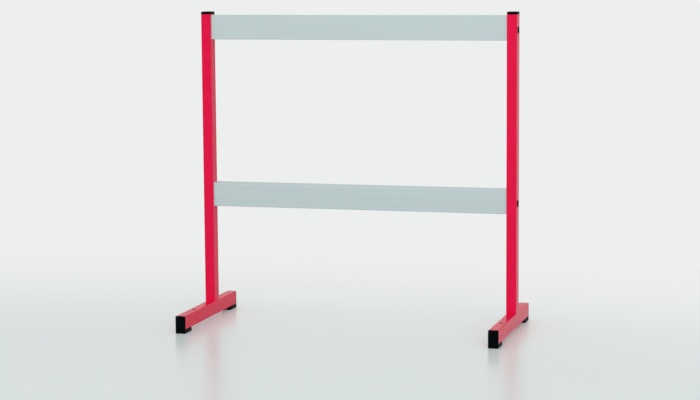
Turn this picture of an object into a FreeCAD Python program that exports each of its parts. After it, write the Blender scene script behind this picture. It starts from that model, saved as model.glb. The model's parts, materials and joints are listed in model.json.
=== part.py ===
import FreeCAD, Part
import math
import os

# Agility hurdle: two welded T-shaped end frames of one rectangular steel tube, joined by two
# hollow aluminium boards. Millimetres. X runs along the boards, the long toes of the feet
# point to -Y, and Z is up. The origin is on the floor, in the middle of the whole hurdle.

# Overall sizes.
CLEAR_SPAN = 1200.0          # between the two uprights, and the length of each board
OVERALL_HEIGHT = 1240.0      # floor to the top of the upright caps
FOOT_LENGTH = 610.0          # over both foot caps
UPRIGHT_SETBACK = 343.0      # front end of the foot to the front face of the upright

# Rectangular steel tube of the uprights and the feet.
TUBE_WIDTH = 40.0
TUBE_DEPTH = 54.0
TUBE_WALL = 2.0
TUBE_CORNER = 4.0

# Weld beads at the front and the back of each upright.
WELD_LEG = 4.0
WELD_CROWN = 0.6             # crown of the bead out from its root, as a share of the leg

# Boards: a hollow extrusion with two webs and a screw boss.
BOARD_HEIGHT = 97.0
BOARD_THICKNESS = 38.0
BOARD_WALL = 2.5
BOARD_CORNER = 3.0
BOARD_TOP_DROP = 3.0         # top of the upright tube to the top of the upper board
BOARD_PITCH = 670.0          # from board to board
CHAMBER_CORNER = 1.5
WEB_THICKNESS = 2.5
STIFFENER_RISE = 20.0        # centre line of the board up to the stiffening web
BOSS_DROP = 8.0              # centre line of the board down to the screw boss
BOSS_WALL = 3.2              # metal round the tapped hole
CORE_SHRINK = 1.2            # tapped diameter less the extruded core's diameter
TAPPED_DEPTH = 32.0

# Bolts that hold the boards, one at each end, with a washer each.
BOLT_DIAMETER = 8.0
BOLT_LENGTH = 30.0
BOLT_HEAD_DIAMETER = 13.0
BOLT_HEAD_HEIGHT = 8.0
BOLT_SOCKET_FLATS = 6.0
SOCKET_SIDES = 6
BOLT_SOCKET_DEPTH = 4.0
BOLT_CHAMFER = 0.8
WASHER_DIAMETER = 22.0
WASHER_THICKNESS = 2.0
THREAD_CLEARANCE = 0.05      # on the radius
BOLT_HOLE_CLEARANCE = 0.5    # on the radius
WASHER_CLEARANCE = 0.2       # on the radius
SPANNER_CLEARANCE = 1.0      # access hole beyond the washer, on the radius

# Plugs that close the access holes.
PLUG_OVERLAP = 2.0           # plug rim beyond the access hole, on the radius
PLUG_RIM = 2.0
PLUG_ROUNDING = 1.4
PLUG_SHANK = 7.0
PLUG_WALL = 1.6
PLUG_CLEARANCE = 0.2         # on the radius
PLUG_BARB = 0.4              # barb beyond the access hole, on the radius
PLUG_BARB_LENGTH = 1.2
PLUG_GRIP_GAP = 0.2          # inner face of the tube wall to the barb

# Plastic caps of the tube ends, each with a ribbed insert.
TOP_CAP_HEAD = 10.5
TOP_CAP_ROUNDING = 2.0
FOOT_CAP_HEAD = 5.0
FOOT_CAP_ROUNDING = 1.2
INSERT_LENGTH = 24.0
INSERT_WALL = 2.0
INSERT_RIB_COUNT = 4
INSERT_RIB_THICKNESS = 1.2
INSERT_RIB_HEIGHT = 1.5
INSERT_CLEARANCE = 0.1

# Glide pads under the ends of the feet, moulded with the foot caps.
PAD_HEIGHT = 15.0
PAD_LENGTH = 72.0
PAD_ROUNDING = 2.5

# Hole for a ground peg, through the top and the bottom wall of each foot.
PEG_HOLE_DIAMETER = 16.0
PEG_HOLE_INSET = 150.0       # front end of the foot tube to the centre of the hole

# Places that follow from the sizes above.
ORIGIN = FreeCAD.Vector(0, 0, 0)
AXIS_X = FreeCAD.Vector(1, 0, 0)
AXIS_Y = FreeCAD.Vector(0, 1, 0)
AXIS_Z = FreeCAD.Vector(0, 0, 1)
INNER_FACE_X = CLEAR_SPAN / 2
FRAME_X = INNER_FACE_X + TUBE_WIDTH / 2
OUTER_FACE_X = INNER_FACE_X + TUBE_WIDTH
FOOT_TUBE_LENGTH = FOOT_LENGTH - 2 * FOOT_CAP_HEAD
FOOT_FRONT_Y = -FOOT_LENGTH / 2
UPRIGHT_Y = FOOT_FRONT_Y + UPRIGHT_SETBACK + TUBE_DEPTH / 2
FOOT_TOP_Z = PAD_HEIGHT + TUBE_DEPTH
UPRIGHT_TOP_Z = OVERALL_HEIGHT - TOP_CAP_HEAD
UPPER_BOARD_Z = UPRIGHT_TOP_Z - BOARD_TOP_DROP - BOARD_HEIGHT / 2
BOARD_CENTRES = {"upper": UPPER_BOARD_Z, "lower": UPPER_BOARD_Z - BOARD_PITCH}
ACCESS_RADIUS = WASHER_DIAMETER / 2 + SPANNER_CLEARANCE
TAPPED_RADIUS = BOLT_DIAMETER / 2 + THREAD_CLEARANCE
HOLE_MARGIN = 1.0            # length of a cutter past the wall that it goes through


def straight_edges(shape, direction):
    """The straight edges of a shape that run along one direction."""
    found = []
    for edge in shape.Edges:
        if isinstance(edge.Curve, Part.Line):
            if abs(abs(edge.Curve.Direction.dot(direction)) - 1) < 1e-6:
                found.append(edge)
    return found


def edges_in_plane(shape, direction, level):
    """The edges of a shape that lie in the plane across one direction at a level."""
    found = []
    for edge in shape.Edges:
        middle = edge.valueAt((edge.FirstParameter + edge.LastParameter) / 2)
        points = [vertex.Point for vertex in edge.Vertexes] + [middle]
        if all(abs(point.dot(direction) - level) < 1e-4 for point in points):
            found.append(edge)
    return found


def rounded_bar(width, depth, length, corner):
    """A bar along Z from z = 0, centred in X and Y, with its four long edges rounded."""
    bar = Part.makeBox(width, depth, length, FreeCAD.Vector(-width / 2, -depth / 2, 0))
    return bar.makeFillet(corner, straight_edges(bar, AXIS_Z))


def rectangular_tube(length):
    """The steel tube of the frames, along Z from z = 0."""
    outside = rounded_bar(TUBE_WIDTH, TUBE_DEPTH, length, TUBE_CORNER)
    bore_width = TUBE_WIDTH - 2 * TUBE_WALL
    bore_depth = TUBE_DEPTH - 2 * TUBE_WALL
    bore = rounded_bar(bore_width, bore_depth, length, TUBE_CORNER - TUBE_WALL)
    return outside.cut(bore)


def laid_back(shape):
    """A shape built along +Z, turned to run along -Y with its depth upright."""
    return shape.rotated(ORIGIN, AXIS_X, 90)


def laid_sideways(shape):
    """A shape built along +Z, turned to run along +X with its depth upright."""
    return shape.rotated(ORIGIN, FreeCAD.Vector(1, 1, 1), 120)


def turned_outward(shape, x, y, z):
    """A round shape built along +Z, turned to point along +X and moved into place."""
    return shape.rotated(ORIGIN, AXIS_Y, 90).translated(FreeCAD.Vector(x, y, z))


def bolt_height(level):
    """Height of the bolt at each end of the upper or the lower board."""
    return BOARD_CENTRES[level] - BOSS_DROP


def upright():
    """Upright tube, with access holes outside and bolt holes inside."""
    tube = rectangular_tube(UPRIGHT_TOP_Z - FOOT_TOP_Z)
    tube.translate(FreeCAD.Vector(FRAME_X, UPRIGHT_Y, FOOT_TOP_Z))
    cutter_length = TUBE_WALL + 2 * HOLE_MARGIN
    for level in BOARD_CENTRES:
        access = Part.makeCylinder(ACCESS_RADIUS, cutter_length)
        outer_start = OUTER_FACE_X - TUBE_WALL - HOLE_MARGIN
        tube = tube.cut(turned_outward(access, outer_start, UPRIGHT_Y, bolt_height(level)))
        clearance = Part.makeCylinder(BOLT_DIAMETER / 2 + BOLT_HOLE_CLEARANCE, cutter_length)
        inner_start = INNER_FACE_X - HOLE_MARGIN
        tube = tube.cut(turned_outward(clearance, inner_start, UPRIGHT_Y, bolt_height(level)))
    return tube


def foot_outside(tube_like):
    """A tube or bar of the foot's length, laid in the foot's place."""
    middle_z = PAD_HEIGHT + TUBE_DEPTH / 2
    return laid_back(tube_like).translated(FreeCAD.Vector(FRAME_X, FOOT_TUBE_LENGTH / 2, middle_z))


def foot():
    """Foot tube, with the ground peg hole through its top and bottom walls."""
    tube = foot_outside(rectangular_tube(FOOT_TUBE_LENGTH))
    peg_y = -FOOT_TUBE_LENGTH / 2 + PEG_HOLE_INSET
    peg_base = FreeCAD.Vector(FRAME_X, peg_y, 0)
    peg = Part.makeCylinder(PEG_HOLE_DIAMETER / 2, FOOT_TOP_Z + HOLE_MARGIN, peg_base)
    return tube.cut(peg)


def weld_shoulders():
    """Weld metal ground flush beside the upright, over the rounded edges of the foot."""
    footprint = rounded_bar(TUBE_WIDTH, TUBE_DEPTH, TUBE_CORNER, TUBE_CORNER)
    footprint.translate(FreeCAD.Vector(FRAME_X, UPRIGHT_Y, FOOT_TOP_Z - TUBE_CORNER))
    foot_bar = rounded_bar(TUBE_WIDTH, TUBE_DEPTH, FOOT_TUBE_LENGTH, TUBE_CORNER)
    return footprint.cut(foot_outside(foot_bar))


def weld_beads():
    """Weld beads across the foot, one before and one behind the upright."""
    bead_length = TUBE_WIDTH - 2 * TUBE_CORNER
    bead_start = FRAME_X - bead_length / 2
    crown_reach = WELD_LEG * WELD_CROWN
    beads = []
    for direction in (-1, 1):
        face_y = UPRIGHT_Y + direction * TUBE_DEPTH / 2
        root = FreeCAD.Vector(bead_start, face_y, FOOT_TOP_Z)
        toe = FreeCAD.Vector(bead_start, face_y + direction * WELD_LEG, FOOT_TOP_Z)
        crown = FreeCAD.Vector(bead_start, face_y + direction * crown_reach, FOOT_TOP_Z + crown_reach)
        top = FreeCAD.Vector(bead_start, face_y, FOOT_TOP_Z + WELD_LEG)
        edges = [Part.makeLine(root, toe), Part.Arc(toe, crown, top).toShape(), Part.makeLine(top, root)]
        beads.append(Part.Face(Part.Wire(edges)).extrude(AXIS_X * bead_length))
    return Part.makeCompound(beads)


def ribbed_insert():
    """The part of a cap inside the tube: a hollow box with ribs, from z = 0 down."""
    bore_width = TUBE_WIDTH - 2 * TUBE_WALL
    bore_depth = TUBE_DEPTH - 2 * TUBE_WALL
    rib_corner = TUBE_CORNER - TUBE_WALL
    core_width = bore_width - 2 * INSERT_RIB_HEIGHT
    core_depth = bore_depth - 2 * INSERT_RIB_HEIGHT
    insert = rounded_bar(core_width, core_depth, INSERT_LENGTH, rib_corner)
    rib_width = bore_width - 2 * INSERT_CLEARANCE
    rib_depth = bore_depth - 2 * INSERT_CLEARANCE
    rib_pitch = INSERT_LENGTH / INSERT_RIB_COUNT
    for number in range(INSERT_RIB_COUNT):
        rib = rounded_bar(rib_width, rib_depth, INSERT_RIB_THICKNESS, rib_corner)
        insert = insert.fuse(rib.translated(AXIS_Z * (number * rib_pitch)))
    hollow_width = core_width - 2 * INSERT_WALL
    hollow_depth = core_depth - 2 * INSERT_WALL
    hollow = rounded_bar(hollow_width, hollow_depth, INSERT_LENGTH, rib_corner)
    insert = insert.cut(hollow)
    return insert.translated(AXIS_Z * -INSERT_LENGTH)


def upright_cap():
    """Cap of the upright: a thick head with a rounded rim, and its insert."""
    head = rounded_bar(TUBE_WIDTH, TUBE_DEPTH, TOP_CAP_HEAD, TUBE_CORNER)
    head = head.makeFillet(TOP_CAP_ROUNDING, edges_in_plane(head, AXIS_Z, TOP_CAP_HEAD))
    cap = head.fuse(ribbed_insert()).removeSplitter()
    return cap.translated(FreeCAD.Vector(FRAME_X, UPRIGHT_Y, UPRIGHT_TOP_Z))


def foot_cap():
    """Front cap of the foot: an end plate that runs down into the glide pad, and its insert."""
    front = FOOT_FRONT_Y
    plate_back = front + FOOT_CAP_HEAD
    pad_back = front + PAD_LENGTH
    outline = [(front, 0), (pad_back, 0), (pad_back, PAD_HEIGHT), (plate_back, PAD_HEIGHT),
               (plate_back, FOOT_TOP_Z), (front, FOOT_TOP_Z), (front, 0)]
    points = [FreeCAD.Vector(INNER_FACE_X, y, z) for y, z in outline]
    shoe = Part.Face(Part.makePolygon(points)).extrude(AXIS_X * TUBE_WIDTH)
    long_edges = straight_edges(shoe, AXIS_Y)
    upper_edges = [edge for edge in long_edges if abs(edge.Vertexes[0].Z - FOOT_TOP_Z) < 1e-4]
    shoe = shoe.makeFillet(TUBE_CORNER, upper_edges)
    long_edges = straight_edges(shoe, AXIS_Y)
    lower_edges = [edge for edge in long_edges if abs(edge.Vertexes[0].Z) < 1e-4]
    shoe = shoe.makeFillet(PAD_ROUNDING, lower_edges)
    shoe = shoe.makeFillet(FOOT_CAP_ROUNDING, edges_in_plane(shoe, AXIS_Y, front))
    insert = laid_back(ribbed_insert())
    insert.translate(FreeCAD.Vector(FRAME_X, plate_back, PAD_HEIGHT + TUBE_DEPTH / 2))
    return shoe.fuse(insert).removeSplitter()


def plug(level):
    """Round plug of an access hole: a low rim, and a hollow shank with a barb."""
    rim_radius = ACCESS_RADIUS + PLUG_OVERLAP
    rim = Part.makeCylinder(rim_radius, PLUG_RIM)
    rim = rim.makeFillet(PLUG_ROUNDING, edges_in_plane(rim, AXIS_Z, PLUG_RIM))
    shank_radius = ACCESS_RADIUS - PLUG_CLEARANCE
    shank = Part.makeCylinder(shank_radius, PLUG_SHANK, AXIS_Z * -PLUG_SHANK)
    barb_top = -(TUBE_WALL + PLUG_GRIP_GAP)
    barb_place = AXIS_Z * (barb_top - PLUG_BARB_LENGTH)
    barb = Part.makeCylinder(ACCESS_RADIUS + PLUG_BARB, PLUG_BARB_LENGTH, barb_place)
    hollow = Part.makeCylinder(shank_radius - PLUG_WALL, PLUG_SHANK, AXIS_Z * -PLUG_SHANK)
    whole = rim.fuse([shank, barb]).cut(hollow).removeSplitter()
    return turned_outward(whole, OUTER_FACE_X, UPRIGHT_Y, bolt_height(level))


def washer(level):
    """Flat washer on the inside of the upright's inner wall."""
    disc = Part.makeCylinder(WASHER_DIAMETER / 2, WASHER_THICKNESS)
    hole = Part.makeCylinder(BOLT_DIAMETER / 2 + WASHER_CLEARANCE, WASHER_THICKNESS)
    return turned_outward(disc.cut(hole), INNER_FACE_X + TUBE_WALL, UPRIGHT_Y, bolt_height(level))


def bolt(level):
    """Socket head bolt, from inside the upright into the board's screw boss."""
    head = Part.makeCylinder(BOLT_HEAD_DIAMETER / 2, BOLT_HEAD_HEIGHT)
    head = head.makeChamfer(BOLT_CHAMFER, edges_in_plane(head, AXIS_Z, BOLT_HEAD_HEIGHT))
    corner_radius = BOLT_SOCKET_FLATS / 2 / math.cos(math.pi / SOCKET_SIDES)
    socket_floor = BOLT_HEAD_HEIGHT - BOLT_SOCKET_DEPTH
    corners = []
    for number in range(SOCKET_SIDES + 1):
        angle = number * 2 * math.pi / SOCKET_SIDES
        corner_x = corner_radius * math.cos(angle)
        corner_y = corner_radius * math.sin(angle)
        corners.append(FreeCAD.Vector(corner_x, corner_y, socket_floor))
    socket = Part.Face(Part.makePolygon(corners)).extrude(AXIS_Z * BOLT_SOCKET_DEPTH)
    shank = Part.makeCylinder(BOLT_DIAMETER / 2, BOLT_LENGTH, AXIS_Z * -BOLT_LENGTH)
    shank = shank.makeChamfer(BOLT_CHAMFER, edges_in_plane(shank, AXIS_Z, -BOLT_LENGTH))
    whole = head.cut(socket).fuse(shank).removeSplitter()
    head_x = INNER_FACE_X + TUBE_WALL + WASHER_THICKNESS
    return turned_outward(whole, head_x, UPRIGHT_Y, bolt_height(level))


def chamber(bottom, top):
    """One hollow of the board's section, between two heights from the centre line."""
    width = BOARD_THICKNESS - 2 * BOARD_WALL
    bar = rounded_bar(width, top - bottom, CLEAR_SPAN, CHAMBER_CORNER)
    return laid_sideways(bar).translated(AXIS_Z * ((top + bottom) / 2))


def board(level):
    """Board: hollow extrusion with a web through its screw boss, tapped at both ends."""
    half_web = WEB_THICKNESS / 2
    inner_half = BOARD_HEIGHT / 2 - BOARD_WALL
    hollows = [chamber(-inner_half, -BOSS_DROP - half_web),
               chamber(-BOSS_DROP + half_web, STIFFENER_RISE - half_web),
               chamber(STIFFENER_RISE + half_web, inner_half)]
    boss_base = FreeCAD.Vector(0, 0, -BOSS_DROP)
    boss = Part.makeCylinder(TAPPED_RADIUS + BOSS_WALL, CLEAR_SPAN, boss_base, AXIS_X)
    section = laid_sideways(rounded_bar(BOARD_THICKNESS, BOARD_HEIGHT, CLEAR_SPAN, BOARD_CORNER))
    for hollow in hollows:
        section = section.cut(hollow.cut(boss))
    core_radius = TAPPED_RADIUS - CORE_SHRINK / 2
    section = section.cut(Part.makeCylinder(core_radius, CLEAR_SPAN, boss_base, AXIS_X))
    for start in (0, CLEAR_SPAN - TAPPED_DEPTH):
        tapped_base = boss_base + AXIS_X * start
        section = section.cut(Part.makeCylinder(TAPPED_RADIUS, TAPPED_DEPTH, tapped_base, AXIS_X))
    return section.translated(FreeCAD.Vector(-CLEAR_SPAN / 2, UPRIGHT_Y, BOARD_CENTRES[level]))


def end_frame():
    """Every piece of the right-hand frame, by name."""
    front_cap = foot_cap()
    pieces = {
        "upright": upright(),
        "foot": foot(),
        "weld_beads": weld_beads(),
        "weld_shoulders": weld_shoulders(),
        "upright_cap": upright_cap(),
        "foot_front_cap": front_cap,
        "foot_rear_cap": front_cap.mirror(ORIGIN, AXIS_Y),
    }
    for level in BOARD_CENTRES:
        pieces[level + "_plug"] = plug(level)
        pieces[level + "_bolt"] = bolt(level)
        pieces[level + "_washer"] = washer(level)
    return pieces


def hurdle():
    """Every piece of the hurdle, by name: two mirrored frames and two boards."""
    pieces = {}
    for name, shape in end_frame().items():
        pieces["right_" + name] = shape
        pieces["left_" + name] = shape.mirror(ORIGIN, AXIS_X)
    for level in BOARD_CENTRES:
        pieces[level + "_board"] = board(level)
    return pieces


os.makedirs("parts", exist_ok=True)
for piece_name, piece in hurdle().items():
    piece.exportStep("parts/" + piece_name + ".step")
    print(piece_name, "solids", len(piece.Solids), "valid", piece.isValid())
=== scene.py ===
import bmesh
import bpy
import json
import math
from mathutils import Matrix, Vector


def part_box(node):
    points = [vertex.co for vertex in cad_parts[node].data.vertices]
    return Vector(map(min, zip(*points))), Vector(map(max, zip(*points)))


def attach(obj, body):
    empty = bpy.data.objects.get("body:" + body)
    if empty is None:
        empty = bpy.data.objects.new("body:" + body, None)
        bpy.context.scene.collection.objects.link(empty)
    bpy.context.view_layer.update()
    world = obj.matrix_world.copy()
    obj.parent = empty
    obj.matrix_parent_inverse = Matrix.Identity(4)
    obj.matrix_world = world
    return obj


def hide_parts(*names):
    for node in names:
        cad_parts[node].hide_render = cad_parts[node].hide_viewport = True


# The hurdle as it was built, and the box that it fills. Metres: x runs along the
# boards, the long toes of the feet point to -y, and the floor is at z = 0.
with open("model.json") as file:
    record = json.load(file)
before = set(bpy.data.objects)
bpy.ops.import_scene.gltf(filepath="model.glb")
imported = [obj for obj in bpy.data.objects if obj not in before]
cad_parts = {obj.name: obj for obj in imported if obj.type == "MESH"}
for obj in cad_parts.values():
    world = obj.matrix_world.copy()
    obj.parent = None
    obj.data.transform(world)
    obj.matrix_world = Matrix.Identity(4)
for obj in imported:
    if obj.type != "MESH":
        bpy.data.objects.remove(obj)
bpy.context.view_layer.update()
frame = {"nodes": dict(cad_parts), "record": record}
nodes = frame["nodes"]


# Camera: a long lens in front of the hurdle and to its right, a little above the
# upper board and tipped down, so that both feet and the boards' tops show.
CAMERA_PLACE = Vector((2.0646, -7.3454, 1.4410))
CAMERA_HEADING = 0.27604
CAMERA_DIP = 0.12208
CAMERA_ROLL = 0.00710
CAMERA_LENS = 100.68
CAMERA_SENSOR = 36.0

bpy.ops.object.camera_add(location=CAMERA_PLACE)
camera = bpy.context.active_object
camera.name = "photo_camera"
camera.data.lens = CAMERA_LENS
camera.data.sensor_width = CAMERA_SENSOR
heading_turn = Matrix.Rotation(CAMERA_HEADING, 4, "Z")
dip_turn = Matrix.Rotation(math.radians(90) - CAMERA_DIP, 4, "X")
roll_turn = Matrix.Rotation(-CAMERA_ROLL, 4, "Z")
camera.matrix_world = Matrix.Translation(CAMERA_PLACE) @ heading_turn @ dip_turn @ roll_turn
bpy.context.scene.camera = camera
bpy.context.scene.view_settings.view_transform = "Standard"


# Studio: a wide pale floor with a faint sheen, a pale surrounding, and one very large
# soft lamp, high behind the camera, that lights the fronts more than the sides and tops.
# The floor's colour is painted: darker near the hurdle and lighter further out. This painted shade around
# the hurdle stands for how the light falls across the floor.
FLOOR_REACH = 400.0
SHADED_FLOOR_NEAR = (0.625, 0.705, 0.695, 1)
LIT_FLOOR_FAR = (0.845, 0.880, 0.870, 1)
FLOOR_ROUGHNESS = 0.28
FLOOR_GLOW = 0.14
POOL_MIDDLE = Vector((-0.1, -1.5, 0))
POOL_NARROWING = 0.5
SHADE_POOL_INSIDE = 1.05
SHADE_POOL_OUTSIDE = 2.8
HAZE_INSIDE = 1.8
HAZE_OUTSIDE = 3.4
SURROUND_COLOUR = (0.845, 0.863, 0.855, 1)
SURROUND_LIGHT = 0.62
LAMP_WIDTH = 9.0
LAMP_HEIGHT = 7.0
LAMP_DISTANCE = 12.0
LAMP_HEADING = math.radians(20)
LAMP_RISE = math.radians(18)
LAMP_POWER = 650.0
LAMP_AIM = Vector((0, 0, 0.6))


def seen_rays(tree):
    """1 for a ray that shows a surface directly, in a mirror or through glass, else 0."""
    light_path = tree.nodes.new("ShaderNodeLightPath")
    direct_or_mirror = tree.nodes.new("ShaderNodeMath")
    direct_or_mirror.operation = "MAXIMUM"
    tree.links.new(light_path.outputs["Is Camera Ray"], direct_or_mirror.inputs[0])
    tree.links.new(light_path.outputs["Is Glossy Ray"], direct_or_mirror.inputs[1])
    any_of_three = tree.nodes.new("ShaderNodeMath")
    any_of_three.operation = "MAXIMUM"
    tree.links.new(direct_or_mirror.outputs["Value"], any_of_three.inputs[0])
    tree.links.new(light_path.outputs["Is Transmission Ray"], any_of_three.inputs[1])
    return any_of_three.outputs["Value"]


def times(tree, first, second):
    """The product of two numbers, each a socket or a plain value."""
    product = tree.nodes.new("ShaderNodeMath")
    product.operation = "MULTIPLY"
    tree.links.new(first, product.inputs[0])
    if isinstance(second, float):
        product.inputs[1].default_value = second
    else:
        tree.links.new(second, product.inputs[1])
    return product.outputs["Value"]


def mixed_shader(tree, share, first, second):
    """One shader that turns into another as a share goes from 0 to 1."""
    mix = tree.nodes.new("ShaderNodeMixShader")
    tree.links.new(share, mix.inputs["Fac"])
    tree.links.new(first, mix.inputs[1])
    tree.links.new(second, mix.inputs[2])
    return mix.outputs["Shader"]


def far_share(tree, inside, outside):
    """0 near the hurdle and 1 far from it, rising between two distances in front or behind."""
    place = tree.nodes.new("ShaderNodeTexCoord")
    oval = tree.nodes.new("ShaderNodeMapping")
    oval.inputs["Scale"].default_value = (POOL_NARROWING, 1, 1)
    tree.links.new(place.outputs["Object"], oval.inputs["Vector"])
    from_middle = tree.nodes.new("ShaderNodeVectorMath")
    from_middle.operation = "DISTANCE"
    from_middle.inputs[1].default_value = POOL_MIDDLE
    tree.links.new(oval.outputs["Vector"], from_middle.inputs[0])
    fade = tree.nodes.new("ShaderNodeMapRange")
    fade.inputs["From Min"].default_value = inside
    fade.inputs["From Max"].default_value = outside
    tree.links.new(from_middle.outputs["Value"], fade.inputs["Value"])
    return fade.outputs["Result"]


def pale_floor():
    """Pale floor that keeps the hurdle's shadow, with painted shade in its colour near the hurdle, and
    fades into the surrounding far away.
    """
    paint = bpy.data.materials.new("pale_floor")
    paint.use_nodes = True
    tree = paint.node_tree
    shader = tree.nodes["Principled BSDF"]
    # Painted shade: with distance from the hurdle, the floor's colour goes from the darker near tone to
    # the lighter far one.
    painted_shade_tones = tree.nodes.new("ShaderNodeValToRGB")
    painted_shade_tones.color_ramp.elements[0].color = SHADED_FLOOR_NEAR
    painted_shade_tones.color_ramp.elements[1].color = LIT_FLOOR_FAR
    tree.links.new(far_share(tree, SHADE_POOL_INSIDE, SHADE_POOL_OUTSIDE), painted_shade_tones.inputs["Fac"])
    tree.links.new(painted_shade_tones.outputs["Color"], shader.inputs["Base Color"])
    shader.inputs["Roughness"].default_value = FLOOR_ROUGHNESS
    shader.inputs["Emission Color"].default_value = SURROUND_COLOUR
    seen = seen_rays(tree)
    tree.links.new(times(tree, seen, FLOOR_GLOW), shader.inputs["Emission Strength"])
    haze = tree.nodes.new("ShaderNodeEmission")
    haze.inputs["Color"].default_value = SURROUND_COLOUR
    share = times(tree, seen, far_share(tree, HAZE_INSIDE, HAZE_OUTSIDE))
    whole = mixed_shader(tree, share, shader.outputs["BSDF"], haze.outputs["Emission"])
    tree.links.new(whole, tree.nodes["Material Output"].inputs["Surface"])
    return paint


bpy.ops.mesh.primitive_plane_add(size=FLOOR_REACH)
floor = bpy.context.active_object
floor.name = "studio_floor"
floor.data.materials.append(pale_floor())

lamp_back = Vector((math.sin(LAMP_HEADING), -math.cos(LAMP_HEADING), math.tan(LAMP_RISE)))
lamp_back.normalize()
bpy.ops.object.light_add(type="AREA", location=LAMP_AIM + lamp_back * LAMP_DISTANCE)
lamp = bpy.context.active_object
lamp.name = "soft_front_lamp"
lamp.data.shape = "RECTANGLE"
lamp.data.size = LAMP_WIDTH
lamp.data.size_y = LAMP_HEIGHT
lamp.data.energy = LAMP_POWER
lamp.rotation_mode = "QUATERNION"
lamp.rotation_quaternion = lamp_back.to_track_quat("Z", "Y")
lamp.visible_glossy = False

world = bpy.data.worlds.new("pale_studio")
bpy.context.scene.world = world
world.use_nodes = True
world_tree = world.node_tree
lighting = world_tree.nodes["Background"]
lighting.inputs["Color"].default_value = (1, 1, 1, 1)
lighting.inputs["Strength"].default_value = SURROUND_LIGHT
surround = world_tree.nodes.new("ShaderNodeBackground")
surround.inputs["Color"].default_value = SURROUND_COLOUR
whole_world = mixed_shader(world_tree, seen_rays(world_tree), lighting.outputs["Background"],
                           surround.outputs["Background"])
world_tree.links.new(whole_world, world_tree.nodes["World Output"].inputs["Surface"])


# Uprights: 40 x 54 rectangular steel tube with rounded corners, sawn square, drilled
# from outside for the board bolts, welded to the feet and powder coated bright red.
LEVELS = ("upper", "lower")
TUBE_CORNER = 0.004
TUBE_WALL = 0.002
CORNER_STEPS = 6
ACCESS_RADIUS = 0.012
BOLT_HOLE_RADIUS = 0.0045
HOLE_STEPS = 48
SMOOTH_ANGLE = math.radians(32)
SAME_PLACE = 1e-5            # two places nearer than this count as one
CUT_SLIVER = 0.000002
TWIN_MERGE = 0.000001
INWARD = -1e-6               # below this, a face looks towards the centre line
ALONG = 0.9                  # cosines of the angle to an axis: along it,
SQUARE_ON = 0.99             # facing it squarely,
ACROSS = 0.1                 # and across it
ALONG_X = Vector((1, 0, 0))
ALONG_Y = Vector((0, 1, 0))
ALONG_Z = Vector((0, 0, 1))


def block(name, low, high):
    """A plain block between two corners, with its place in its mesh."""
    bpy.ops.object.select_all(action="DESELECT")
    bpy.ops.mesh.primitive_cube_add(size=1, location=(low + high) / 2, scale=high - low)
    piece = bpy.context.active_object
    piece.name = name
    bpy.ops.object.transform_apply(location=True, rotation=True, scale=True)
    return piece


def rod(name, middle, radius, length, axis):
    """A round bar about a middle point, along one axis, with its place in its mesh."""
    bpy.ops.object.select_all(action="DESELECT")
    turn = axis.to_track_quat("Z", "Y").to_euler()
    bpy.ops.mesh.primitive_cylinder_add(vertices=HOLE_STEPS, radius=radius, depth=length,
                                        location=middle, rotation=turn)
    piece = bpy.context.active_object
    piece.name = name
    bpy.ops.object.transform_apply(location=True, rotation=True, scale=True)
    return piece


def work_on(piece):
    """Make one piece the only one selected and active."""
    bpy.ops.object.select_all(action="DESELECT")
    piece.select_set(True)
    bpy.context.view_layer.objects.active = piece


def pick_faces(wanted):
    """In edit mode, select the faces whose middle and normal pass a test, and no others."""
    bpy.ops.mesh.select_mode(type="FACE")
    bpy.ops.mesh.select_all(action="DESELECT")
    mesh = bpy.context.edit_object.data
    for face in bmesh.from_edit_mesh(mesh).faces:
        face.select_set(wanted(face.calc_center_median(), face.normal))
    bmesh.update_edit_mesh(mesh)


def pick_edges(wanted):
    """In edit mode, select the edges whose middle and direction pass a test, and no others."""
    bpy.ops.mesh.select_mode(type="EDGE")
    bpy.ops.mesh.select_all(action="DESELECT")
    mesh = bpy.context.edit_object.data
    for edge in bmesh.from_edit_mesh(mesh).edges:
        start = edge.verts[0].co
        end = edge.verts[1].co
        edge.select_set(wanted((start + end) / 2, (end - start).normalized()))
    bmesh.update_edit_mesh(mesh)


def steel_tube(name, low, high, axis):
    """Open-ended tube between two corners, with rounded corners and an even wall."""
    tube = block(name, low, high)
    bpy.ops.object.mode_set(mode="EDIT")
    pick_faces(lambda middle, normal: abs(normal.dot(axis)) > ALONG)
    bpy.ops.mesh.delete(type="FACE")
    pick_edges(lambda middle, direction: abs(direction.dot(axis)) > ALONG)
    bpy.ops.mesh.bevel(offset=TUBE_CORNER, segments=CORNER_STEPS)
    bpy.ops.object.mode_set(mode="OBJECT")
    wall = tube.modifiers.new("wall", "SOLIDIFY")
    wall.thickness = TUBE_WALL
    wall.offset = -1
    wall.use_even_offset = True
    bpy.ops.object.modifier_apply(modifier=wall.name)
    return tube


def cut_away(piece, cutter):
    """Cut one shape out of a piece, throw the cutter away, and clear slivers from the cut."""
    work_on(piece)
    cut = piece.modifiers.new("cut", "BOOLEAN")
    cut.operation = "DIFFERENCE"
    cut.solver = "EXACT"
    cut.object = cutter
    bpy.ops.object.modifier_apply(modifier=cut.name)
    bpy.data.objects.remove(cutter)
    bpy.ops.object.mode_set(mode="EDIT")
    bpy.ops.mesh.select_all(action="SELECT")
    bpy.ops.mesh.remove_doubles(threshold=CUT_SLIVER)
    bpy.ops.mesh.dissolve_degenerate(threshold=CUT_SLIVER)
    bpy.ops.object.mode_set(mode="OBJECT")


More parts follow.
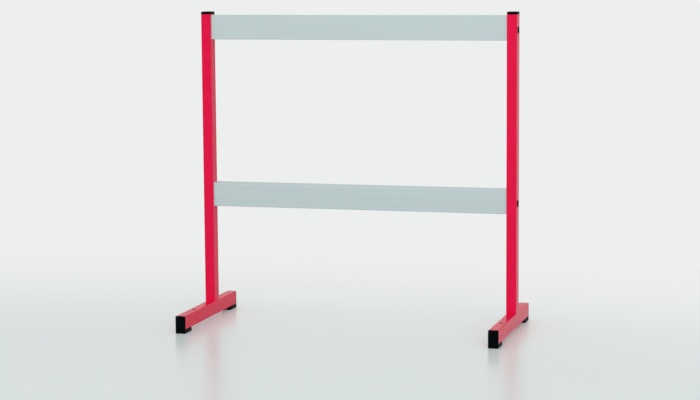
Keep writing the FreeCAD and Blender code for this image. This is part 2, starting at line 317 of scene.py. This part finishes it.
def mirrored(piece, name, plane_axis, plane_place):
    """A mirror copy with a mesh of its own, across a plane square to one axis."""
    twin = piece.copy()
    twin.data = piece.data.copy()
    twin.name = name
    bpy.context.scene.collection.objects.link(twin)
    work_on(twin)
    bpy.ops.object.mode_set(mode="EDIT")
    bpy.ops.mesh.select_all(action="SELECT")
    flip = [-1 if part else 1 for part in plane_axis]
    bpy.ops.transform.resize(value=flip, center_override=plane_axis * plane_place)
    bpy.ops.mesh.remove_doubles(threshold=TWIN_MERGE)
    bpy.ops.mesh.normals_make_consistent(inside=False)
    bpy.ops.object.mode_set(mode="OBJECT")
    return twin


def finish_surface(piece, material, slot, *replaced):
    """Smooth a finished piece, give it its material, and stand it in its nodes' place."""
    work_on(piece)
    bpy.ops.object.shade_smooth_by_angle(angle=SMOOTH_ANGLE)
    flats = piece.modifiers.new("flats", "WEIGHTED_NORMAL")
    flats.keep_sharp = True
    bpy.ops.object.modifier_apply(modifier=flats.name)
    piece.data.materials.clear()
    piece.data.materials.append(material)
    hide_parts(*replaced)
    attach(piece, "root")


def speckle(material, size, detail, stretch=(1, 1, 1)):
    """A noise pattern on a material, with marks of about one size in metres."""
    tree = material.node_tree
    place = tree.nodes.new("ShaderNodeTexCoord")
    fit = tree.nodes.new("ShaderNodeMapping")
    fit.inputs["Scale"].default_value = stretch
    tree.links.new(place.outputs["Object"], fit.inputs["Vector"])
    noise = tree.nodes.new("ShaderNodeTexNoise")
    noise.inputs["Scale"].default_value = 1 / size
    noise.inputs["Detail"].default_value = detail
    tree.links.new(fit.outputs["Vector"], noise.inputs["Vector"])
    return noise.outputs["Fac"]


PATTERN_LOW = 0.3            # the noise value that gives the low end of a range,
PATTERN_HIGH = 0.7           # and the one that gives its high end


def spread(material, pattern, low, high):
    """A number that follows a pattern, from one value to another."""
    scale = material.node_tree.nodes.new("ShaderNodeMapRange")
    scale.inputs["From Min"].default_value = PATTERN_LOW
    scale.inputs["From Max"].default_value = PATTERN_HIGH
    scale.inputs["To Min"].default_value = low
    scale.inputs["To Max"].default_value = high
    material.node_tree.links.new(pattern, scale.inputs["Value"])
    return scale.outputs["Result"]


def blend_colours(material, pattern, dark, light):
    """A colour that follows a pattern, from a darker one to a lighter one."""
    ramp = material.node_tree.nodes.new("ShaderNodeValToRGB")
    ramp.color_ramp.elements[0].position = PATTERN_LOW
    ramp.color_ramp.elements[0].color = dark
    ramp.color_ramp.elements[1].position = PATTERN_HIGH
    ramp.color_ramp.elements[1].color = light
    material.node_tree.links.new(pattern, ramp.inputs["Fac"])
    return ramp.outputs["Color"]


def add_bump(material, pattern, depth, strength, before=None):
    """Relief of a real depth from a pattern, on top of an earlier relief if there is one."""
    bump = material.node_tree.nodes.new("ShaderNodeBump")
    bump.inputs["Distance"].default_value = depth
    bump.inputs["Strength"].default_value = strength
    material.node_tree.links.new(pattern, bump.inputs["Height"])
    if before:
        material.node_tree.links.new(before, bump.inputs["Normal"])
    return bump.outputs["Normal"]


RED_DEEP = (0.755, 0.0040, 0.053, 1)
RED_LIGHT = (0.805, 0.0056, 0.065, 1)
COAT_IOR = 1.25
COAT_SHEEN = 0.35
COAT_ROUGHNESS = (0.23, 0.29)
CLOUD_SIZE = 0.06
PEEL_SIZE = 0.0022
PEEL_DEPTH = 0.00008
COAT_GRAIN_SIZE = 0.0005
COAT_GRAIN_DEPTH = 0.00002


def red_powder_coat():
    """Semi-gloss red powder coat: faint cloudiness, orange peel and a very fine grain."""
    coat = bpy.data.materials.new("red_powder_coat")
    coat.use_nodes = True
    links = coat.node_tree.links
    shader = coat.node_tree.nodes["Principled BSDF"]
    shader.inputs["IOR"].default_value = COAT_IOR
    shader.inputs["Specular IOR Level"].default_value = COAT_SHEEN
    clouds = speckle(coat, CLOUD_SIZE, detail=3)
    links.new(blend_colours(coat, clouds, RED_DEEP, RED_LIGHT), shader.inputs["Base Color"])
    peel = speckle(coat, PEEL_SIZE, detail=2)
    grain = speckle(coat, COAT_GRAIN_SIZE, detail=2)
    links.new(spread(coat, clouds, *COAT_ROUGHNESS), shader.inputs["Roughness"])
    relief = add_bump(coat, peel, PEEL_DEPTH, strength=0.25)
    relief = add_bump(coat, grain, COAT_GRAIN_DEPTH, strength=0.25, before=relief)
    links.new(relief, shader.inputs["Normal"])
    return coat


# Painted shade: bare steel is far lighter than these. The near-black tone stands for the shade inside the
# tubes and holes.
SHADED_STEEL_DEEP = (0.012, 0.011, 0.011, 1)
SHADED_STEEL_LIGHT = (0.035, 0.032, 0.030, 1)
STEEL_METALLIC = 0.6
STEEL_ROUGHNESS = (0.45, 0.7)
STREAK_SIZE = 0.004
STREAK_STRETCH = (1, 0.2, 0.2)
STREAK_DEPTH = 0.00003


def bare_steel_painted_shade():
    """Uncoated steel inside the tubes and in the drilled holes, with drawn streaks, painted near black: a
    painted shade, far darker than bare steel, for the shade inside them.
    """
    steel = bpy.data.materials.new("bare_steel_painted_shade")
    steel.use_nodes = True
    links = steel.node_tree.links
    shader = steel.node_tree.nodes["Principled BSDF"]
    shader.inputs["Metallic"].default_value = STEEL_METALLIC
    streaks = speckle(steel, STREAK_SIZE, detail=4, stretch=STREAK_STRETCH)
    colour = blend_colours(steel, streaks, SHADED_STEEL_DEEP, SHADED_STEEL_LIGHT)
    links.new(colour, shader.inputs["Base Color"])
    links.new(spread(steel, streaks, *STEEL_ROUGHNESS), shader.inputs["Roughness"])
    links.new(add_bump(steel, streaks, STREAK_DEPTH, strength=0.4), shader.inputs["Normal"])
    return steel


def leave_bare_with_painted_shade(tube, tube_middle, axis):
    """Leave uncoated the faces that look towards a tube's own centre line, in the near-black steel that
    is painted shade.
    """
    tube.data.materials.append(SHADED_STEEL)
    tube.active_material_index = 1
    bpy.ops.object.mode_set(mode="EDIT")
    across = Vector((1, 1, 1)) - axis
    pick_faces(lambda middle, normal: ((middle - tube_middle) * across).dot(normal) < INWARD)
    bpy.ops.object.material_slot_assign()
    bpy.ops.object.mode_set(mode="OBJECT")


RED = red_powder_coat()
SHADED_STEEL = bare_steel_painted_shade()
upright_low, upright_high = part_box("right_upright")
upright = steel_tube("right_upright_tube", upright_low, upright_high, ALONG_Z)
upright_middle = (upright_low + upright_high) / 2
for level in LEVELS:
    bolt_low, bolt_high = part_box("right_" + level + "_bolt")
    bolt_place = (bolt_low + bolt_high) / 2
    outer_wall = Vector((upright_high.x, bolt_place.y, bolt_place.z))
    inner_wall = Vector((upright_low.x, bolt_place.y, bolt_place.z))
    cut_away(upright, rod("access", outer_wall, ACCESS_RADIUS, 4 * TUBE_WALL, ALONG_X))
    cut_away(upright, rod("bolt_hole", inner_wall, BOLT_HOLE_RADIUS, 4 * TUBE_WALL, ALONG_X))
left_upright = mirrored(upright, "left_upright_tube", ALONG_X, 0)
finish_surface(upright, RED, "red_powder_coat", "right_upright")
# The tube's inside and the faces of its holes get the steel painted near black: painted shade, darker
# than bare steel is.
leave_bare_with_painted_shade(upright, upright_middle, ALONG_Z)
finish_surface(left_upright, RED, "red_powder_coat", "left_upright")
leave_bare_with_painted_shade(left_upright, upright_middle * Vector((-1, 1, 1)), ALONG_Z)


# Feet: the same tube, laid flat under each upright. A hole for a ground peg goes down
# through both walls between the upright and the front end, drilled after the coating.
# The tube's inside and much of the bore take the bare steel painted near black, a painted shade.
PEG_RADIUS = 0.008
PEG_RIM = 0.0003

foot_low, foot_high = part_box("right_foot")
peg_place = Vector(frame["record"]["mounts"][0]["pos_m"])
foot = steel_tube("right_foot_tube", foot_low, foot_high, ALONG_Y)
foot_middle = (foot_low + foot_high) / 2
peg_middle = Vector((foot_middle.x, peg_place.y, foot_middle.z))
peg_length = 2 * (foot_high.z - foot_low.z)
cut_away(foot, rod("peg_hole", peg_middle, PEG_RADIUS, peg_length, ALONG_Z))


def on_peg_rim(middle, direction):
    """True for the hole's edges in the foot's outer top and bottom."""
    out = (middle - peg_middle) * Vector((1, 1, 0))
    from_face = foot_high.z - foot_middle.z - abs(middle.z - foot_middle.z)
    return out.length < PEG_RADIUS + SAME_PLACE and from_face < SAME_PLACE


work_on(foot)
bpy.ops.object.mode_set(mode="EDIT")
pick_edges(on_peg_rim)
bpy.ops.mesh.bevel(offset=PEG_RIM, segments=2)
bpy.ops.object.mode_set(mode="OBJECT")
left_foot = mirrored(foot, "left_foot_tube", ALONG_X, 0)
finish_surface(foot, RED, "red_powder_coat", "right_foot")
leave_bare_with_painted_shade(foot, foot_middle, ALONG_Y)
finish_surface(left_foot, RED, "red_powder_coat", "left_foot")
leave_bare_with_painted_shade(left_foot, foot_middle * Vector((-1, 1, 1)), ALONG_Y)


# Weld between upright and foot: a rippled bead across the front and the back, and
# flat shoulders at the sides, ground flush. All of it is powder coated with the frame.
SIDES = ("right", "left")
RIPPLE_PITCH = 0.002
RIPPLE_WAIST = 0.86
RIPPLE_BOW = 0.0007
BEAD_FULLNESS = 0.97
BEAD_STEPS = 5
ROOT_REACH = 1e-4            # nearer the root than this, the bead has no ripples


def weld_bead(name, low, high):
    """Convex bead in the corner at its high y and low z, with bowed ripples along x."""
    bead = block(name, low, high)
    root = Vector((0, high.y, low.z))
    bpy.ops.object.mode_set(mode="EDIT")
    pick_edges(lambda middle, direction: middle.y < low.y + SAME_PLACE and middle.z > high.z - SAME_PLACE)
    bpy.ops.mesh.bevel(offset=BEAD_FULLNESS * (high.z - low.z), segments=BEAD_STEPS)
    count = round((high.x - low.x) / RIPPLE_PITCH) * 2
    for number in range(1, count):
        bpy.ops.mesh.select_all(action="SELECT")
        place = Vector((low.x + number * RIPPLE_PITCH / 2, root.y, root.z))
        bpy.ops.mesh.bisect(plane_co=place, plane_no=ALONG_X)
    mesh = bmesh.from_edit_mesh(bead.data)
    for vertex in mesh.verts:
        reach = vertex.co - root
        reach.x = 0
        away = min(-reach.y, reach.z) / (high.z - low.z)
        step = round((vertex.co.x - low.x) / (RIPPLE_PITCH / 2))
        if reach.length > ROOT_REACH and 0 < step < count:
            if step % 2 == 0:
                vertex.co.y = root.y + reach.y * RIPPLE_WAIST
                vertex.co.z = root.z + reach.z * RIPPLE_WAIST
            vertex.co.x += RIPPLE_BOW * away
    bmesh.update_edit_mesh(bead.data)
    bpy.ops.object.mode_set(mode="OBJECT")
    return bead


bead_low, bead_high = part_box("right_weld_beads")
bead_leg = bead_high.z - bead_low.z
front_bead_high = Vector((bead_high.x, bead_low.y + bead_leg, bead_high.z))
beads = weld_bead("right_weld_bead_pair", bead_low, front_bead_high)
rear_bead = mirrored(beads, "rear_bead", ALONG_Y, upright_middle.y)
work_on(beads)
rear_bead.select_set(True)
bpy.ops.object.join()
left_beads = mirrored(beads, "left_weld_bead_pair", ALONG_X, 0)
finish_surface(beads, RED, "red_powder_coat", "right_weld_beads")
finish_surface(left_beads, RED, "red_powder_coat", "left_weld_beads")
for side in SIDES:
    shoulders = nodes[side + "_weld_shoulders"]
    shoulders.data.materials.clear()
    shoulders.data.materials.append(RED)


# Upright caps: black moulded plastic, with a thick crowned head as wide as the tube
# and a hollow insert below it, whose ribs grip the inside of the tube.
CAP_ROUNDING = 0.002
CAP_CROWN = 0.0004
CROWN_INSET = 0.0018
INSERT_WALL = 0.002
INSERT_LENGTH = 0.024
RIB_COUNT = 4
RIB_THICKNESS = 0.0012
RIB_HEIGHT = 0.0015
RIB_CLEARANCE = 0.0001
BLACK_DEEP = (0.0007, 0.0014, 0.0019, 1)
BLACK_LIGHT = (0.0018, 0.0030, 0.0036, 1)
PLASTIC_IOR = 1.25
PLASTIC_SHEEN = 0.1
PLASTIC_ROUGHNESS = (0.42, 0.55)
PATCH_SIZE = 0.01
PLASTIC_GRAIN_SIZE = 0.0006
PLASTIC_GRAIN_DEPTH = 0.00006


def extrude_faces(step):
    """In edit mode, extrude the selected faces by one step."""
    bpy.ops.mesh.extrude_region_move(TRANSFORM_OT_translate={"value": step})


def resize_faces(centre, factors):
    """In edit mode, scale the selected faces about a centre."""
    bpy.ops.transform.resize(value=factors, center_override=centre)


def ribbed_insert(centre, into, width, depth, depth_axis):
    """From the selected face, which is as large as the bore, make the ribbed hollow insert."""
    rib_width = width - 2 * RIB_CLEARANCE
    rib_depth = depth - 2 * RIB_CLEARANCE
    core_width = width - 2 * RIB_HEIGHT
    core_depth = depth - 2 * RIB_HEIGHT
    narrow = ALONG_X * (core_width / rib_width) + depth_axis * (core_depth / rib_depth)
    widen = ALONG_X * (rib_width / core_width) + depth_axis * (rib_depth / core_depth)
    lengthwise = Vector([abs(part) for part in into])
    pitch = INSERT_LENGTH / RIB_COUNT
    for number in range(RIB_COUNT):
        extrude_faces(into * (pitch - RIB_THICKNESS))
        extrude_faces(into * 0)
        resize_faces(centre, widen + lengthwise)
        extrude_faces(into * RIB_THICKNESS)
        extrude_faces(into * 0)
        resize_faces(centre, narrow + lengthwise)
    bpy.ops.mesh.inset(thickness=INSERT_WALL)
    extrude_faces(into * -INSERT_LENGTH)


def black_plastic():
    """Black polyethylene with a fine moulded grain and a dull sheen."""
    plastic = bpy.data.materials.new("black_plastic")
    plastic.use_nodes = True
    links = plastic.node_tree.links
    shader = plastic.node_tree.nodes["Principled BSDF"]
    shader.inputs["IOR"].default_value = PLASTIC_IOR
    shader.inputs["Specular IOR Level"].default_value = PLASTIC_SHEEN
    patches = speckle(plastic, PATCH_SIZE, detail=4)
    links.new(blend_colours(plastic, patches, BLACK_DEEP, BLACK_LIGHT), shader.inputs["Base Color"])
    links.new(spread(plastic, patches, *PLASTIC_ROUGHNESS), shader.inputs["Roughness"])
    grain = speckle(plastic, PLASTIC_GRAIN_SIZE, detail=3)
    relief = add_bump(plastic, grain, PLASTIC_GRAIN_DEPTH, strength=0.5)
    links.new(relief, shader.inputs["Normal"])
    return plastic


BLACK = black_plastic()
cap_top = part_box("right_upright_cap")[1].z
head_low = Vector((upright_low.x, upright_low.y, upright_high.z))
head_high = Vector((upright_high.x, upright_high.y, cap_top - CAP_CROWN))
cap = block("right_upright_end_cap", head_low, head_high)
bpy.ops.object.mode_set(mode="EDIT")
pick_edges(lambda middle, direction: abs(direction.z) > ALONG)
bpy.ops.mesh.bevel(offset=TUBE_CORNER, segments=CORNER_STEPS)
pick_edges(lambda middle, direction: middle.z > head_high.z - SAME_PLACE)
bpy.ops.mesh.bevel(offset=CAP_ROUNDING, segments=4)
pick_faces(lambda middle, normal: normal.z > SQUARE_ON)
bpy.ops.mesh.inset(thickness=CROWN_INSET, depth=CAP_CROWN)
pick_faces(lambda middle, normal: normal.z < -SQUARE_ON)
bpy.ops.mesh.inset(thickness=TUBE_WALL + RIB_HEIGHT)
bore_width = upright_high.x - upright_low.x - 2 * TUBE_WALL
bore_depth = upright_high.y - upright_low.y - 2 * TUBE_WALL
head_middle = (head_low + head_high) / 2
ribbed_insert(head_middle, ALONG_Z * -1, bore_width, bore_depth, ALONG_Y)
bpy.ops.object.mode_set(mode="OBJECT")
left_cap = mirrored(cap, "left_upright_end_cap", ALONG_X, 0)
finish_surface(cap, BLACK, "black_plastic", "right_upright_cap")
finish_surface(left_cap, BLACK, "black_plastic", "left_upright_cap")


# Foot caps: black plastic shoes, each an end plate over the tube's end that turns
# under the foot as a glide pad, with the same ribbed insert pushed into the tube.
PAD_LENGTH = 0.072
PLATE_ROUNDING = 0.0012
PAD_ROUNDING = 0.0025

shoe_low, shoe_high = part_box("right_foot_front_cap")
pad_back = shoe_low.y + PAD_LENGTH
plate_high = Vector((shoe_high.x, foot_low.y, shoe_high.z))
shoe = block("right_front_shoe", shoe_low, plate_high)
bpy.ops.object.mode_set(mode="EDIT")
bpy.ops.mesh.select_all(action="SELECT")
bpy.ops.mesh.bisect(plane_co=foot_low, plane_no=ALONG_Z)
pick_faces(lambda middle, normal: normal.y > ALONG and middle.z < foot_low.z)
extrude_faces(ALONG_Y * (pad_back - foot_low.y))
pick_edges(lambda middle, direction: abs(direction.y) > ALONG and middle.z > foot_high.z - SAME_PLACE)
bpy.ops.mesh.bevel(offset=TUBE_CORNER, segments=CORNER_STEPS)
pick_edges(lambda middle, direction: abs(direction.y) > ALONG and middle.z < shoe_low.z + SAME_PLACE)
bpy.ops.mesh.bevel(offset=PAD_ROUNDING, segments=4)
pick_edges(lambda middle, direction: middle.y < shoe_low.y + SAME_PLACE and abs(direction.y) < ACROSS)
bpy.ops.mesh.bevel(offset=PLATE_ROUNDING, segments=3)
pick_edges(lambda middle, direction: middle.y > pad_back - SAME_PLACE and abs(direction.y) < ACROSS)
bpy.ops.mesh.bevel(offset=PLATE_ROUNDING / 2, segments=2)
pick_faces(lambda middle, normal: normal.y > SQUARE_ON and middle.z > foot_low.z + TUBE_CORNER)
bpy.ops.mesh.inset(thickness=TUBE_WALL + RIB_HEIGHT)
foot_bore_depth = foot_high.z - foot_low.z - 2 * TUBE_WALL
ribbed_insert(foot_middle, ALONG_Y, bore_width, foot_bore_depth, ALONG_Z)
bpy.ops.object.mode_set(mode="OBJECT")
shoes = {"right_foot_front_cap": shoe}
shoes["right_foot_rear_cap"] = mirrored(shoe, "right_rear_shoe", ALONG_Y, 0)
shoes["left_foot_front_cap"] = mirrored(shoe, "left_front_shoe", ALONG_X, 0)
shoes["left_foot_rear_cap"] = mirrored(shoes["right_foot_rear_cap"], "left_rear_shoe", ALONG_X, 0)
for node_name, piece in shoes.items():
    finish_surface(piece, BLACK, "black_plastic", node_name)


# Plugs: round black plastic buttons pushed into the access holes once the bolts are
# tight. Each has a low rounded rim with a shallow dish in it, and a hollow shank with
# a barb behind the tube wall.
PLUG_ROUNDING = 0.0014
DISH_MARGIN = 0.004
DISH_SLOPE = 0.001
DISH_DEPTH = 0.0003
PLUG_SHANK = 0.007
PLUG_WALL = 0.0016
SHANK_RADIUS = 0.0118
BARB_RADIUS = 0.0124
BARB_LENGTH = 0.0012
BARB_GAP = 0.0002

for level in LEVELS:
    plug_low, plug_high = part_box("right_" + level + "_plug")
    rim_radius = (plug_high.z - plug_low.z) / 2
    rim_depth = plug_high.x - upright_high.x
    plug_middle = (plug_low + plug_high) / 2
    rim_middle = Vector((upright_high.x + rim_depth / 2, plug_middle.y, plug_middle.z))
    plug = rod("right_" + level + "_hole_plug", rim_middle, rim_radius, rim_depth, ALONG_X)
    barb_factor = BARB_RADIUS / SHANK_RADIUS
    bpy.ops.object.mode_set(mode="EDIT")
    pick_edges(lambda middle, direction: middle.x > plug_high.x - SAME_PLACE)
    bpy.ops.mesh.bevel(offset=PLUG_ROUNDING, segments=4)
    pick_faces(lambda middle, normal: normal.x > SQUARE_ON)
    bpy.ops.mesh.inset(thickness=DISH_MARGIN)
    bpy.ops.mesh.inset(thickness=DISH_SLOPE, depth=-DISH_DEPTH)
    pick_faces(lambda middle, normal: normal.x < -SQUARE_ON)
    bpy.ops.mesh.inset(thickness=rim_radius - SHANK_RADIUS)
    extrude_faces(ALONG_X * -(TUBE_WALL + BARB_GAP))
    extrude_faces(ALONG_X * 0)
    resize_faces(rim_middle, (1, barb_factor, barb_factor))
    extrude_faces(ALONG_X * -BARB_LENGTH)
    resize_faces(rim_middle, (1, 1 / barb_factor, 1 / barb_factor))
    extrude_faces(ALONG_X * -(PLUG_SHANK - TUBE_WALL - BARB_GAP - BARB_LENGTH))
    bpy.ops.mesh.inset(thickness=PLUG_WALL)
    extrude_faces(ALONG_X * PLUG_SHANK)
    bpy.ops.object.mode_set(mode="OBJECT")
    left_plug = mirrored(plug, "left_" + level + "_hole_plug", ALONG_X, 0)
    finish_surface(plug, BLACK, "black_plastic", "right_" + level + "_plug")
    finish_surface(left_plug, BLACK, "black_plastic", "left_" + level + "_plug")


# Bolts and washers: zinc plated steel, out of sight behind the plugs. Each bolt goes
# through the upright's inner wall into the tapped screw boss of a board.
ZINC_DARK = (0.52, 0.54, 0.56, 1)
ZINC_LIGHT = (0.70, 0.71, 0.71, 1)
ZINC_ROUGHNESS = (0.24, 0.38)
SPANGLE_SIZE = 0.0015
SPANGLE_DEPTH = 0.00002


def zinc_plate():
    """Bright zinc plate with a faint spangle."""
    zinc = bpy.data.materials.new("zinc_plated_steel")
    zinc.use_nodes = True
    links = zinc.node_tree.links
    shader = zinc.node_tree.nodes["Principled BSDF"]
    shader.inputs["Metallic"].default_value = 1
    spangle = speckle(zinc, SPANGLE_SIZE, detail=3)
    links.new(blend_colours(zinc, spangle, ZINC_DARK, ZINC_LIGHT), shader.inputs["Base Color"])
    links.new(spread(zinc, spangle, *ZINC_ROUGHNESS), shader.inputs["Roughness"])
    links.new(add_bump(zinc, spangle, SPANGLE_DEPTH, strength=0.4), shader.inputs["Normal"])
    return zinc


ZINC = zinc_plate()
for side in SIDES:
    for level in LEVELS:
        for part in ("bolt", "washer"):
            fastener = nodes[side + "_" + level + "_" + part]
            fastener.data.materials.clear()
            fastener.data.materials.append(ZINC)


# Boards: hollow aluminium extrusions with two webs and a screw boss, sawn square and
# left with a satin skin that shows fine die lines along the board.
BOARD_CORNER = 0.003
BOARD_WALL = 0.0025
WEB_THICKNESS = 0.0025
STIFFENER_RISE = 0.020
BOSS_DROP = 0.008
BOSS_RADIUS = 0.00725
CORE_RADIUS = 0.00345
TAPPED_RADIUS = 0.00405
TAPPED_DEPTH = 0.032
CHAMBER_CORNER = 0.0015
SATIN_DARK = (0.575, 0.660, 0.670, 1)
SATIN_LIGHT = (0.640, 0.730, 0.747, 1)
SATIN_METALLIC = 0.5
SATIN_ROUGHNESS = (0.46, 0.58)
BROAD_LINE_SIZE = 0.0028
BROAD_LINE_STRETCH = (0.002, 1, 1)
FINE_LINE_SIZE = 0.0010
FINE_LINE_STRETCH = (0.003, 1, 1)
FINE_LINE_DEPTH = 0.00002


def rounded_bar(name, low, high, corner, steps):
    """A solid bar along x between two corners, with its four long edges rounded."""
    bar = block(name, low, high)
    bpy.ops.object.mode_set(mode="EDIT")
    pick_edges(lambda middle, direction: abs(direction.x) > ALONG)
    bpy.ops.mesh.bevel(offset=corner, segments=steps)
    bpy.ops.object.mode_set(mode="OBJECT")
    return bar


def satin_aluminium():
    """Satin aluminium with die lines: streaks along x in tone, gloss and relief."""
    satin = bpy.data.materials.new("board_aluminium")
    satin.use_nodes = True
    links = satin.node_tree.links
    shader = satin.node_tree.nodes["Principled BSDF"]
    shader.inputs["Metallic"].default_value = SATIN_METALLIC
    broad = speckle(satin, BROAD_LINE_SIZE, detail=4, stretch=BROAD_LINE_STRETCH)
    fine = speckle(satin, FINE_LINE_SIZE, detail=3, stretch=FINE_LINE_STRETCH)
    links.new(blend_colours(satin, broad, SATIN_DARK, SATIN_LIGHT), shader.inputs["Base Color"])
    links.new(spread(satin, fine, *SATIN_ROUGHNESS), shader.inputs["Roughness"])
    links.new(add_bump(satin, fine, FINE_LINE_DEPTH, strength=0.35), shader.inputs["Normal"])
    return satin


SATIN = satin_aluminium()
for level in LEVELS:
    board_low, board_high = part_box(level + "_board")
    board_middle = (board_low + board_high) / 2
    boss_middle = board_middle - ALONG_Z * BOSS_DROP
    board_length = board_high.x - board_low.x
    bar = rounded_bar(level + "_board_extrusion", board_low, board_high, BOARD_CORNER, steps=5)
    web_levels = [boss_middle.z, board_middle.z + STIFFENER_RISE]
    floors = [board_low.z + BOARD_WALL] + [web + WEB_THICKNESS / 2 for web in web_levels]
    ceilings = [web - WEB_THICKNESS / 2 for web in web_levels] + [board_high.z - BOARD_WALL]
    for bottom, top in zip(floors, ceilings):
        hollow_low = Vector((board_low.x - BOARD_WALL, board_low.y + BOARD_WALL, bottom))
        hollow_high = Vector((board_high.x + BOARD_WALL, board_high.y - BOARD_WALL, top))
        hollow = rounded_bar("hollow", hollow_low, hollow_high, CHAMBER_CORNER, steps=3)
        boss = rod("boss", boss_middle, BOSS_RADIUS, 2 * board_length, ALONG_X)
        cut_away(hollow, boss)
        cut_away(bar, hollow)
    cut_away(bar, rod("core", boss_middle, CORE_RADIUS, 2 * board_length, ALONG_X))
    for end in (board_low.x, board_high.x):
        tapped_middle = Vector((end, boss_middle.y, boss_middle.z))
        cut_away(bar, rod("tapped", tapped_middle, TAPPED_RADIUS, 2 * TAPPED_DEPTH, ALONG_X))
    finish_surface(bar, SATIN, "board_aluminium", level + "_board")
